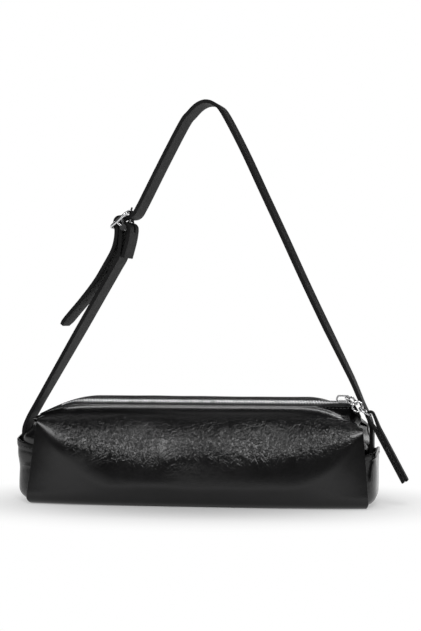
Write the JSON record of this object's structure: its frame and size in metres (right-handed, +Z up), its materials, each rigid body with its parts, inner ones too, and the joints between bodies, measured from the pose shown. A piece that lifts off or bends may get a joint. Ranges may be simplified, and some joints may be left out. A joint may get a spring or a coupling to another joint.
{
  "type": "baguette bag",
  "caption": "Long black leather baguette bag with a metal zip along the top, a chained leather puller, pinched ends and a flat buckled shoulder strap.",
  "frame": {"origin": "middle of the base, on the surface that the bag stands on", "axes": "+X along the bag towards the end where the closed zip's slider lies, +Y from the front to the back, +Z up"},
  "size_m": [0.3295, 0.093, 0.3379],
  "materials": {
    "black_leather": "soft black glazed leather with a light crinkle",
    "strap_leather": "firm black leather with painted edges",
    "lining_cloth": "dark woven lining",
    "zip_tape": "black woven zip tape",
    "silver_metal": "polished silver-coloured metal"
  },
  "bodies": {
    "bag": {"body_wrap": "black_leather", "left_end_panel": "black_leather", "right_end_panel": "black_leather", "left_end_tab": "black_leather", "right_end_tab": "black_leather", "lining": "lining_cloth", "base_board": "lining_cloth", "front_zip_tape": "zip_tape", "back_zip_tape": "zip_tape", "front_zip_teeth": "silver_metal", "back_zip_teeth": "silver_metal", "zip_top_stops": "silver_metal", "zip_bottom_stop": "silver_metal"},
    "slider": {"zip_slider": "silver_metal"},
    "chain": {"pull_chain": "silver_metal"},
    "puller": {"pull_strip": "strap_leather"},
    "strap": {"strap_long": "strap_leather", "strap_short": "strap_leather", "buckle_frame": "silver_metal", "buckle_bar": "silver_metal"},
    "prong": {"buckle_prong": "silver_metal"}
  },
  "joints": [
    {"name": "strap_swing", "type": "hinge", "parent": "bag", "child": "strap", "pos_m": [0, 0, 0.045], "axis": [1, 0, 0], "range_deg": [-30, 30]},
    {"name": "zip_run", "type": "slide", "parent": "bag", "child": "slider", "axis": [1, 0, 0], "range_m": [-0.232, 0], "deforming": ["front_zip_teeth", "back_zip_teeth", "pull_chain", "pull_strip"]},
    {"name": "chain_lift", "type": "hinge", "parent": "slider", "child": "chain", "pos_m": [0.12875, 0, 0.0882], "axis": [-0.9703, -0.2419, 0], "range_deg": [0, 60]},
    {"name": "puller_swing", "type": "hinge", "parent": "chain", "child": "puller", "pos_m": [0.14724, -0.02066, 0.07538], "axis": [-0.0349, -0.9994, 0], "range_deg": [0, 60]},
    {"name": "prong_lift", "type": "hinge", "parent": "strap", "child": "prong", "pos_m": [-0.0588, 0, 0.2312], "axis": [-0.0785, -0.9969, 0], "range_deg": [0, 8]}
  ]
}
